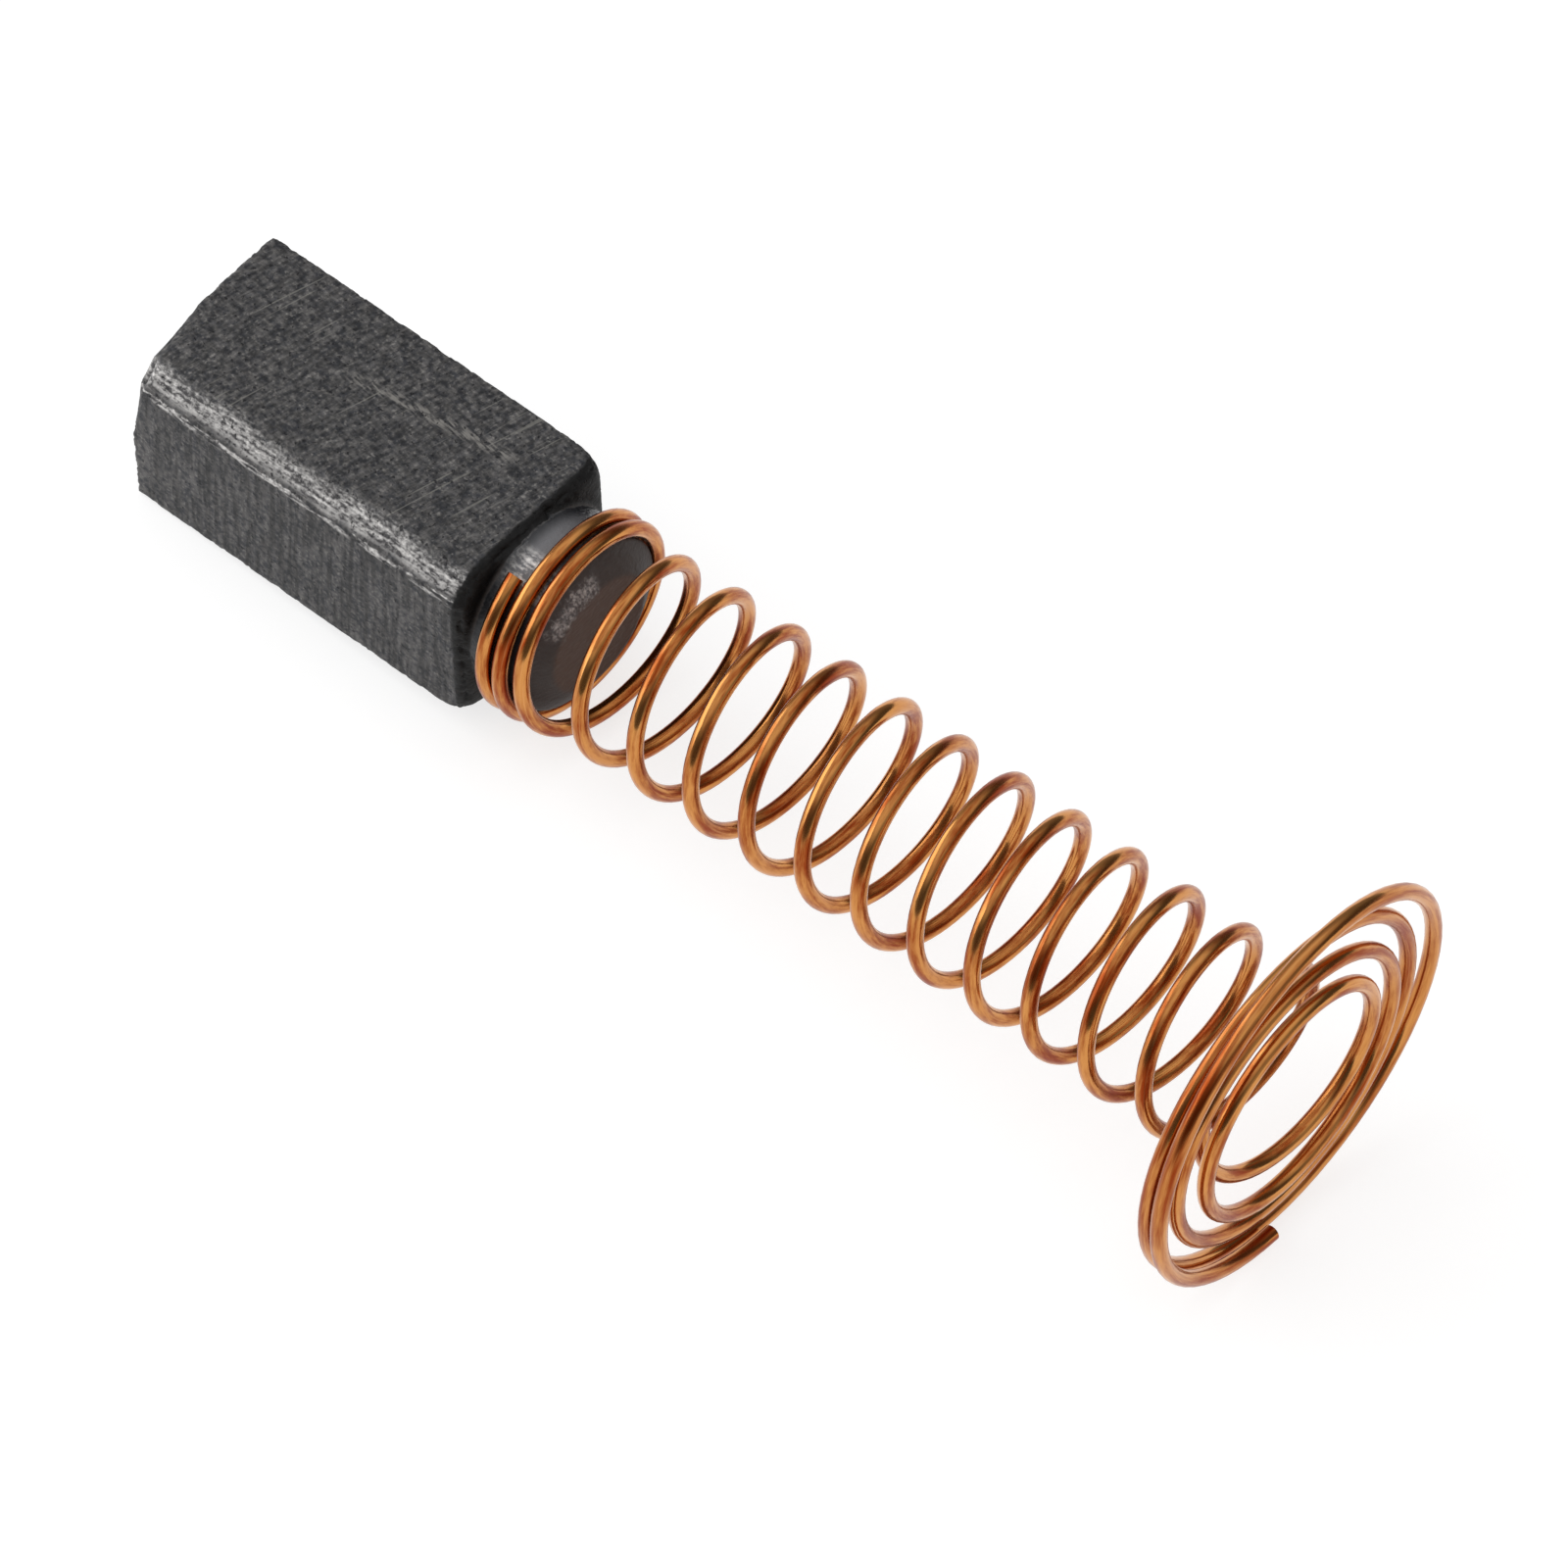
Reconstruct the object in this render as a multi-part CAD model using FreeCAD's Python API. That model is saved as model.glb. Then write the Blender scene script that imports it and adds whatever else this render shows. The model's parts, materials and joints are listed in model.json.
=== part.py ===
import FreeCAD, Part
import math
import os

# Carbon brush of a small commutator motor: a pressed graphite block with the coil spring that
# presses it forward. The spring grips a round boss at the back of the block and ends in a wide
# spiral that seats in the brush cap. The part lies on its side, as it comes to rest. Millimetres.
# X runs from the wear face to the wide end, Z is up, and the front side is the one towards -Y.

# Graphite block
block_width = 5.0            # across, along Y
block_height = 4.7           # along Z
block_length = 10.15         # wear face to shoulder
guide_chamfer = 0.65         # the one chamfered long edge, front top, that keys it in its holder
long_edge_radius = 0.12      # the three other long edges
wear_edge_bevel = 0.1        # round the wear face
shoulder_bevel = 0.25        # round the shoulder, where the press tool parts

# Round boss behind the shoulder
boss_diameter = 4.56
boss_length = 1.9
boss_bevel_length = 0.4      # along the axis
boss_bevel_depth = 0.75      # off the radius, so the end is a shallow cone with a flat tip

# Spring wire and its open coils
wire_diameter = 0.4
wire_flats = 6               # the round wire is drawn with flats that keep its area, to stay light
open_coil_diameter = 5.11    # outside
open_pitch = 1.66
open_turns = 11.87           # from the last closed coil to the start of the spiral
opening_turns = 0.38         # over these the closed coils fan out to the open pitch
narrowing_turns = 0.9        # over these the coils narrow behind the boss

# Closed coils that grip the boss
grip_clearance = 0.03        # drawn clear of the boss that the real coils squeeze
first_coil_gap = 0.367       # shoulder to the first coil
closed_coil_gap = 0.1        # between the closed coils

# Wide end: a nearly flat spiral, and one last turn that steps outwards and closes in again
spiral_turns = 3.85
spiral_gap = 0.384           # bare space between one turn of the spiral and the next
spiral_setback = 0.2         # each turn lies this far back inside the one before it
widening_turns = 0.93        # over these the coils start to widen
flattening_delay = 0.46      # the pitch closes this many turns after the widening starts
flattening_turns = 0.93
last_turns = 0.81            # after the spiral stops growing
last_turn_closing = 0.82     # radius lost per turn there
closing_turns = 0.46
last_turn_step = 0.727       # how far the last turn moves along the axis, clear of the one inside
step_lead = 0.35             # the move starts this many turns before the spiral stops growing
step_turns = 1.0
spiral_lean = 0.042          # slope of the spiral's plane against a square one

# The spring's sag line: its axis rises from the boss, because the wide end rests on the floor
spring_lift = 0.2
lift_length = 3.0
spring_slope = 0.028

# The wire's line is a chain of arcs, each tangent to the next, in pairs that end on the true line
arcs_per_turn = 5
rest_samples_per_turn = 90   # places tried for the wire's lowest point

wire_radius = wire_diameter / 2
flat_angle = 2.0 * math.pi / wire_flats
corner_radius = wire_radius * math.sqrt(flat_angle / math.sin(flat_angle))
boss_radius = boss_diameter / 2
boss_end = block_length + boss_length
closed_pitch = wire_diameter + closed_coil_gap
spiral_growth = wire_diameter + spiral_gap
grip_radius = boss_radius + grip_clearance + wire_radius
open_radius = open_coil_diameter / 2 - wire_radius
first_station = block_length + first_coil_gap + wire_radius

# Turns are counted from the wire's end on the boss. The closed ones fill the boss to its bevel.
grip_turns = (boss_end - boss_bevel_length - first_station) / closed_pitch
widens_at = grip_turns + open_turns
flattens_at = widens_at + flattening_delay
closes_in_at = widens_at + spiral_turns
steps_out_at = closes_in_at - step_lead
wire_turns = closes_in_at + last_turns

# The wire starts on the upper front of the boss, this far round from the front
start_angle = math.radians(-61.6)


def eased(turn, start, over):
    """A share from 0 to 1 that rises smoothly over some turns."""
    share = min(max((turn - start) / over, 0.0), 1.0)
    return share * share * (3.0 - 2.0 * share)


def eased_turns(turn, start, over):
    """The turns that lie past a start, with a smooth beginning."""
    passed = (turn - start) / over
    share = min(max(passed, 0.0), 1.0)
    return over * (share ** 3 - share ** 4 / 2.0 + max(passed - 1.0, 0.0))


def coil_radius(turn):
    """Radius of the wire's centre line."""
    narrowed = (grip_radius - open_radius) * eased(turn, grip_turns, narrowing_turns)
    widened = spiral_growth * eased_turns(turn, widens_at, widening_turns)
    stopped = (spiral_growth + last_turn_closing) * eased_turns(turn, closes_in_at, closing_turns)
    return grip_radius - narrowed + widened - stopped


def coil_station(turn):
    """Distance of the wire's centre line from the wear face, along the axis."""
    opened = (open_pitch - closed_pitch) * eased_turns(turn, grip_turns, opening_turns)
    flattened = (open_pitch + spiral_setback) * eased_turns(turn, flattens_at, flattening_turns)
    stepped = last_turn_step * eased(turn, steps_out_at, step_turns)
    lean = spiral_lean * eased(turn, widens_at - widening_turns, 2.0 * widening_turns)
    leaned = lean * coil_radius(turn) * math.cos(2.0 * math.pi * turn)
    return first_station + closed_pitch * turn + opened - flattened + stepped + leaned


def axis_rise(station):
    """Height of the spring's axis over the block's."""
    past_boss = max(station - boss_end, 0.0)
    return spring_lift * eased(station, boss_end, lift_length) + spring_slope * past_boss


def wire_point(turn):
    """A point of the wire's centre line, before the part is laid down."""
    angle = start_angle + 2.0 * math.pi * turn
    radius = coil_radius(turn)
    station = coil_station(turn)
    height = axis_rise(station) - radius * math.sin(angle)
    return FreeCAD.Vector(station, -radius * math.cos(angle), height)


def wire_direction(turn):
    """The way the wire runs at a turn."""
    nearby = 1e-4
    direction = wire_point(turn + nearby) - wire_point(turn - nearby)
    return direction.normalize()


def spaced_turns(steps):
    """Evenly spaced turn counts from one end of the wire to the other."""
    return [wire_turns * step / steps for step in range(steps + 1)]


def arc_between(start, corner, end):
    """The arc that touches both legs of a corner at their ends."""
    middle = (start + end) / 2
    flatness = (end - start).Length / 2 / (corner - start).Length
    crown = middle + (corner - middle) * (flatness / (1 + flatness))
    return Part.Arc(start, crown, end).toShape()


def tangent_arcs(first_turn, last_turn):
    """Two arcs that leave one place and reach the next in the wire's own directions."""
    start = wire_point(first_turn)
    end = wire_point(last_turn)
    leaving = wire_direction(first_turn)
    arriving = wire_direction(last_turn)
    chord = end - start
    bend = 2 * (1 - leaving.dot(arriving))
    along = chord.dot(leaving + arriving)
    leg = (math.sqrt(along ** 2 + bend * chord.dot(chord)) - along) / bend
    joint = (start + end + (leaving - arriving) * leg) / 2
    return [arc_between(start, start + leaving * leg, joint),
            arc_between(joint, end - arriving * leg, end)]


def block_profile():
    """The block's section, at the wear face."""
    front, back = -block_width / 2, block_width / 2
    bottom, top = -block_height / 2, block_height / 2
    corners = [
        (front, bottom), (back, bottom), (back, top),
        (front + guide_chamfer, top), (front, top - guide_chamfer), (front, bottom),
    ]
    return Part.Face(Part.makePolygon([FreeCAD.Vector(0, y, z) for y, z in corners]))


def is_square_long_edge(edge):
    """True for the long edges that aren't part of the guide chamfer."""
    first, last = (vertex.Point for vertex in edge.Vertexes)
    at_side = abs(abs(first.y) - block_width / 2) < 1e-6
    at_level = abs(abs(first.z) - block_height / 2) < 1e-6
    return abs(last.x - first.x) > block_length / 2 and at_side and at_level


def end_edges(solid, station):
    """The edges that lie all in one plane across the axis."""
    return [edge for edge in solid.Edges
            if all(abs(vertex.X - station) < 1e-6 for vertex in edge.Vertexes)]


def make_block():
    """The pressed block with its boss, one piece of graphite."""
    block = block_profile().extrude(FreeCAD.Vector(block_length, 0, 0))
    block = block.makeChamfer(shoulder_bevel, end_edges(block, block_length))
    block = block.makeChamfer(wear_edge_bevel, end_edges(block, 0.0))
    long_edges = [edge for edge in block.Edges if is_square_long_edge(edge)]
    block = block.makeFillet(long_edge_radius, long_edges)
    return block.fuse(make_boss()).removeSplitter().Solids[0]


def make_boss():
    """The boss as a turned profile, rooted inside the block."""
    root = block_length - shoulder_bevel - boss_length / 2
    profile = [
        (root, 0.0), (root, boss_radius), (boss_end - boss_bevel_length, boss_radius),
        (boss_end, boss_radius - boss_bevel_depth), (boss_end, 0.0), (root, 0.0),
    ]
    face = Part.Face(Part.makePolygon([FreeCAD.Vector(x, 0, z) for x, z in profile]))
    return face.revolve(FreeCAD.Vector(0, 0, 0), FreeCAD.Vector(1, 0, 0), 360)


def wire_section():
    """The outline that is swept, square to the wire at its end on the boss."""
    facing = FreeCAD.Rotation(FreeCAD.Vector(0, 0, 1), wire_direction(0.0))
    corners = []
    for flat in range(wire_flats + 1):
        angle = flat_angle * flat
        spoke = FreeCAD.Vector(corner_radius * math.cos(angle), corner_radius * math.sin(angle), 0)
        corners.append(wire_point(0.0) + facing.multVec(spoke))
    return Part.makePolygon(corners)


def make_spring():
    """One wire, swept along the whole centre line, with square-cut ends."""
    ends = spaced_turns(math.ceil(wire_turns * arcs_per_turn / 2))
    arcs = [arc for pair in zip(ends, ends[1:]) for arc in tangent_arcs(*pair)]
    return Part.Wire(arcs).makePipeShell([wire_section()], True, False).Solids[0]


def rest_tilt():
    """Angle of the line under the block's wear edge and the lowest coil, seen from the front."""
    edge_height = -block_height / 2
    angles = []
    for turn in spaced_turns(math.ceil(wire_turns * rest_samples_per_turn)):
        point = wire_point(turn)
        rise = point.z - edge_height
        run = point.x - wear_edge_bevel
        angles.append(math.atan2(rise, run) - math.asin(wire_radius / math.hypot(rise, run)))
    return min(angles)


def laid_down(shapes):
    """The shapes turned to rest on the floor, centred over the origin."""
    turn = FreeCAD.Rotation(FreeCAD.Vector(0, 1, 0), math.degrees(rest_tilt()))
    for shape in shapes:
        shape.Placement = FreeCAD.Placement(FreeCAD.Vector(0, 0, 0), turn)
    box = Part.makeCompound(shapes).optimalBoundingBox(False, False)
    shift = FreeCAD.Vector(-box.Center.x, -box.Center.y, -box.ZMin)
    for shape in shapes:
        shape.translate(shift)


os.makedirs("parts", exist_ok=True)
brush_block = make_block()
contact_spring = make_spring()
laid_down([brush_block, contact_spring])
brush_block.exportStep("parts/brush_block.step")
contact_spring.exportStep("parts/contact_spring.step")
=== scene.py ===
import json
import math

import bmesh
import bpy
from mathutils import Matrix, Vector, noise


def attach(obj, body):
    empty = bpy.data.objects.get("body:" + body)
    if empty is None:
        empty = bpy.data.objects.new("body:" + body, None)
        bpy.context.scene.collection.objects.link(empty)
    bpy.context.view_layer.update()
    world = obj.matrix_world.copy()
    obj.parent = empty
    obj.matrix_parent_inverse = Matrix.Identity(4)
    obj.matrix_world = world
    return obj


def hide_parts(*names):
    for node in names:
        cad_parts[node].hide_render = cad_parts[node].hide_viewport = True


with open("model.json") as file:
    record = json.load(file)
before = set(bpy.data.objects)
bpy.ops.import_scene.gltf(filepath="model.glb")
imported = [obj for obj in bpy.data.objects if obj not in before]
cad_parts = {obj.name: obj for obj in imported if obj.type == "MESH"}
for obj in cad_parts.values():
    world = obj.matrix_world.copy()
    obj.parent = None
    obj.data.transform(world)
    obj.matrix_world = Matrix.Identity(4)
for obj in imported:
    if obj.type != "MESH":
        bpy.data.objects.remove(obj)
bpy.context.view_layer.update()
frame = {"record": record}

# Brush block. One pressing of graphite powder and resin: a rectangular block that slides in the
# motor's brush holder, with a round boss behind its shoulder. The long faces are ground to size,
# the guide chamfer and the boss keep the die's skin, and the edges crumble a little. Sizes in mm.

MM = 0.001                   # in metres
BLOCK_LENGTH = 10.15
BLOCK_WIDTH = 5.0
BLOCK_HEIGHT = 4.7
GUIDE_CHAMFER = 0.65         # on the front top edge
SHOULDER_BEVEL = 0.25
BOSS_RADIUS = 2.28
BOSS_LENGTH = 1.9
BOSS_BEVEL_LENGTH = 0.4      # along the axis
BOSS_BEVEL_DEPTH = 0.75      # off the radius
BOSS_ROOT = 1.0              # the part of the boss that is sunk in the block
BOSS_SIDES = 160
SKIN_STEP = 0.062            # spacing of the fine mesh that carries the crumbled edges
EDGE_REACH = 0.2             # how far from an edge the crumbling goes
EDGE_ROUNDING = 0.03
CRUMB_DEPTH = 0.11
CRUMBS_PER_MM = 3.7
CHIPS_PER_MM = 9.0           # smaller chips on top of the crumbs
CHIP_SHARE = 0.8
CRUMB_SPREAD = 0.05          # above 0, so that more than half of an edge crumbles
GRAIN_DEPTH = 0.006
GRAINS_PER_MM = 6.0
GRAIN_OCTAVES = 3
GRAIN_ROUGHNESS = 0.8
GRAIN_STEP = 2.1             # each octave is this much finer than the one before it
GUIDE_EDGE_WEAR = 0.35       # the guide chamfer's blunt edges wear this much as the square ones
SHOULDER_REACH = 1.0         # the wear grows over this length towards the shoulder
SHOULDER_ROUNDING = 0.05     # on top of its bevel
SHOULDER_CRUMBS = 0.4        # how much deeper the crumbs go there
CORNER_REACH = 0.8           # the shoulder's corners are blunter still
CORNER_WEAR = 0.2
GUIDE_END = Vector((0.0, (GUIDE_CHAMFER - BLOCK_WIDTH) / 2, (BLOCK_HEIGHT - GUIDE_CHAMFER) / 2))
GUIDE_END_REACH = 2.2        # the corner where the guide chamfer meets the wear face is worn away
GUIDE_END_EDGE_REACH = 0.8
GUIDE_END_WEAR = Vector((0.31, 0.22, -0.33))


def rest_placement():
    """Takes a brush that lies along +X from its wear face, in mm, to its place at rest."""
    wear_face = next(m for m in frame["record"]["mounts"] if m["name"] == "wear_face")
    along = -Vector(wear_face["axis"])
    across = Vector((0.0, 1.0, 0.0))
    turn = Matrix((along, across, along.cross(across))).transposed().to_4x4()
    return Matrix.Translation(wear_face["pos_m"]) @ turn @ Matrix.Scale(MM, 4)


AT_REST = rest_placement()


def linked_object(name, contents):
    """Puts a mesh, light or camera in the scene."""
    item = bpy.data.objects.new(name, contents)
    bpy.context.scene.collection.objects.link(item)
    return item


def object_from(name, shape):
    """Turns a finished bmesh into a scene object."""
    mesh = bpy.data.meshes.new(name)
    shape.to_mesh(mesh)
    shape.free()
    return linked_object(name, mesh)


def block_shell():
    """The block with its guide chamfer and bevelled shoulder."""
    shell = bmesh.new()
    size = Matrix.Diagonal((BLOCK_LENGTH, BLOCK_WIDTH, BLOCK_HEIGHT, 1.0))
    middle = Matrix.Translation((BLOCK_LENGTH / 2, 0.0, 0.0))
    bmesh.ops.create_cube(shell, size=1.0, matrix=middle @ size)
    guide = [e for e in shell.edges if all(v.co.y < 0 < v.co.z for v in e.verts)]
    bmesh.ops.bevel(shell, geom=guide, offset=GUIDE_CHAMFER, offset_type="OFFSET", segments=1,
                    profile=0.5, affect="EDGES", material=-1)
    shoulder = [e for e in shell.edges if all(v.co.x > BLOCK_LENGTH - 1e-4 for v in e.verts)]
    bmesh.ops.bevel(shell, geom=shoulder, offset=SHOULDER_BEVEL, offset_type="OFFSET", segments=4,
                    profile=0.5, affect="EDGES", material=-1)
    return shell


def add_boss(shell):
    """The straight part of the boss, rooted inside the block, and the shallow cone at its end."""
    straight = BOSS_ROOT + BOSS_LENGTH - BOSS_BEVEL_LENGTH
    start = BLOCK_LENGTH - BOSS_ROOT
    along = Matrix.Rotation(math.pi / 2, 4, "Y")
    for station, length, end_radius in (
            (start, straight, BOSS_RADIUS),
            (start + straight, BOSS_BEVEL_LENGTH, BOSS_RADIUS - BOSS_BEVEL_DEPTH)):
        centre = Matrix.Translation((station + length / 2, 0.0, 0.0))
        bmesh.ops.create_cone(shell, cap_ends=True, segments=BOSS_SIDES, radius1=BOSS_RADIUS,
                              radius2=end_radius, depth=length, matrix=centre @ along)


def fine_skin(shell):
    """One even skin over block and boss, fine enough to crumble."""
    rough = object_from("rough_block", shell)
    skin = rough.modifiers.new("skin", "REMESH")
    skin.mode = "VOXEL"
    skin.voxel_size = SKIN_STEP
    skin.adaptivity = 0.0
    ready = rough.evaluated_get(bpy.context.evaluated_depsgraph_get())
    fine = bmesh.new()
    fine.from_mesh(ready.to_mesh())
    bpy.data.objects.remove(rough)
    return fine


def near_edge(place, reach):
    """A share from 1 at the block's nearest edge to 0 at a reach from it. A place on an edge lies on
    two faces, so the second nearest face tells how far away the edge is."""
    guide = (BLOCK_WIDTH / 2 + BLOCK_HEIGHT / 2 - GUIDE_CHAMFER + place.y - place.z) / math.sqrt(2.0)
    sides = sorted((BLOCK_WIDTH / 2 - abs(place.y), BLOCK_HEIGHT / 2 - abs(place.z), guide))
    end = min(place.x, BLOCK_LENGTH - place.x)
    at_end_edge = max(0.0, 1.0 - max(end, sides[0]) / reach) ** 2
    at_long_edge = max(0.0, 1.0 - abs(sides[1]) / reach) ** 2
    return max(at_end_edge, at_long_edge * (GUIDE_EDGE_WEAR if guide in sides[:2] else 1.0))


def crumble(fine):
    """Rounds the edges, breaks crumbs out of them, most of all at the shoulder, blunts the corners
    that are worn most, and leaves a press grain on the faces."""
    for vert in fine.verts:
        place = vert.co.copy()
        grain = noise.fractal(place * GRAINS_PER_MM, GRAIN_ROUGHNESS, GRAIN_STEP, GRAIN_OCTAVES)
        depth = GRAIN_DEPTH * grain
        if place.x < BLOCK_LENGTH + SKIN_STEP:
            at_shoulder = max(0.0, 1.0 - (BLOCK_LENGTH - place.x) / SHOULDER_REACH)
            chips = CHIP_SHARE * noise.noise(place * CHIPS_PER_MM)
            crumbs = max(0.0, noise.noise(place * CRUMBS_PER_MM) + chips + CRUMB_SPREAD)
            share = near_edge(place, EDGE_REACH + SHOULDER_BEVEL * at_shoulder)
            depth += share * (EDGE_ROUNDING + SHOULDER_ROUNDING * at_shoulder)
            depth += share * CRUMB_DEPTH * (1.0 + SHOULDER_CRUMBS * at_shoulder) * crumbs
            outwards = Vector((1.0, math.copysign(1.0, place.y), math.copysign(1.0, place.z)))
            corner = outwards * Vector((BLOCK_LENGTH, BLOCK_WIDTH / 2, BLOCK_HEIGHT / 2))
            at_corner = max(0.0, 1.0 - (place - corner).length / CORNER_REACH) ** 2
            vert.co -= outwards.normalized() * CORNER_WEAR * at_corner
            at_guide_end = max(0.0, 1.0 - (place - GUIDE_END).length / GUIDE_END_REACH)
            vert.co += GUIDE_END_WEAR * at_guide_end * near_edge(place, GUIDE_END_EDGE_REACH)
        vert.co -= vert.normal * depth


def build_block():
    """The worn block, in its place at rest."""
    shell = block_shell()
    add_boss(shell)
    fine = fine_skin(shell)
    crumble(fine)
    fine.transform(AT_REST)
    for face in fine.faces:
        face.smooth = True
    return object_from("graphite_brush", fine)


def linear(hex_colour):
    """An sRGB hex colour as linear RGBA."""
    channels = [int(hex_colour[i:i + 2], 16) / 255.0 for i in (1, 3, 5)]
    return [c / 12.92 if c <= 0.04045 else ((c + 0.055) / 1.055) ** 2.4 for c in channels] + [1.0]


def add_node(tree, kind, settings, links=None):
    """Adds a node. Settings are its properties and inputs, and links give the nodes or outputs
    that feed its inputs. Of sockets that share a name, the one in use is meant."""
    node = tree.nodes.new(kind)

    def in_use(sockets, key):
        return next(s for number, s in enumerate(sockets) if s.enabled and key in (s.name, number, None))

    for key, value in settings.items():
        if isinstance(key, str) and hasattr(node, key):
            setattr(node, key, value)
        else:
            in_use(node.inputs, key).default_value = value
    for key, source in (links or {}).items():
        output = source if isinstance(source, bpy.types.NodeSocket) else in_use(source.outputs, None)
        tree.links.new(output, in_use(node.inputs, key))
    return node


# Looks of the graphite, in mm on the block. The real grains are a few hundredths of a millimetre
# across, and are drawn as coarse as they need to be to show.
FACING = (0.8, 0.95)                   # masks for faces that look one way rise between these
MOTTLE_SIZE = 0.16
FLECK_SIZE = 0.08
PIT_SIZE = 0.13
TOP_STROKE = (0.09, 0.4, 0.09)         # ground across the top, leaning towards the boss
CROSS_STROKE = (0.38, 0.09, 0.09)
TOP_LEAN = math.radians(-16.0)
SCRATCH = (0.1, 3.0, 0.3)
SIDE_STROKE = (0.13, 0.3, 1.3)         # ground from top to bottom
SIDE_LEAN = math.radians(4.0)
MOST_NOISE = (0.36, 0.64)              # most values of a noise texture lie between these
TOP_CONTRAST = (0.68, 1.32)            # strokes make the graphite this much darker and lighter
CROSS_CONTRAST = (0.74, 1.26)
SIDE_CONTRAST = (0.58, 1.5)
RUB_FROM = Vector((4.2, 0.6))          # a faint row of rub marks on the top
RUB_TO = Vector((8.5, 1.18))
RUB_HALF_WIDTH = 0.24
RUB_CORE = 0.04                        # half the width that is rubbed fully
RUB_FADE = 0.3                         # to both sides of the row's two ends
SPARKLE = (0.13, 0.075, 0.075)         # grains of the painted glints and of the band's fray, drawn out along the die
STREAK = (0.8, 0.1, 0.1)
RELIEF = 0.02
CHAMFER_WIDTH = GUIDE_CHAMFER * math.sqrt(2.0)
BAND_START = (-0.04, 0.4)              # down the chamfer, its painted highlight band rises between these
BAND_END = (0.58, 0.88)                # and fades between these
BAND_DRIFTS_PER_MM = 0.6
BAND_DRIFT = 0.6                       # how far the band wanders
BAND_FRAY = 0.4                        # how far its grains make it ragged
LOWER_STREAK = 0.98 * CHAMFER_WIDTH
LOWER_STREAK_HALF_WIDTH = 0.1
LOWER_STREAK_CORE = 0.05
LOWER_STREAK_FRAY = 0.16
SKIN_FADE = 0.4                        # the skin fades out over this length at the shoulder
SHEEN_ANGLE = math.radians(-82.0)     # of the painted grey sheen, round the boss from its front, as the next two
HIGHLIGHT_ANGLE = math.radians(-67.0)     # of the painted glinting highlight, beside the wire's end
PATCH_ANGLE = math.radians(-66.0)      # of a painted highlight patch on the cone, just outside the flat tip
PATCH_RADIUS = 1.72
PATCH_HALF_WIDTH = 0.37
PATCH_CORE = 0.01
PATCH_FRAY = 0.7
BOSS_BLEND = 0.1                       # the boss's looks begin over this length
ROOT_SHADE_REACH = 0.5                        # how far painted shade reaches round the root of the boss
SHOULDER_SHADE = (0.5, 0.075)           # before the shoulder, where its painted shade starts and is full
SHADE_FRAY = 0.9
TIP_RADIUS = BOSS_RADIUS - BOSS_BEVEL_DEPTH
TIP_BLEND = 0.1
# Painted light among these colours: the painted glint, the boss's grey sheen, the black painted shade,
# the cone's painted shade and the tip's painted copper reflection. The pit colour also paints the shade
# round the boss's root.
GRAPHITE = {"dark": "#2D2E32", "light": "#5E5C5B", "fleck": "#85827E", "pit_and_root_shade": "#121317",
            "scratch": "#8E8C86", "die skin": "#484647", "painted glint": "#F2EFEC", "boss": "#38383C",
            "rubbed_and_sheen": "#747477", "painted_shade": "#060606", "cone": "#4E4947", "tip": "#5E4B40"}


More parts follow.
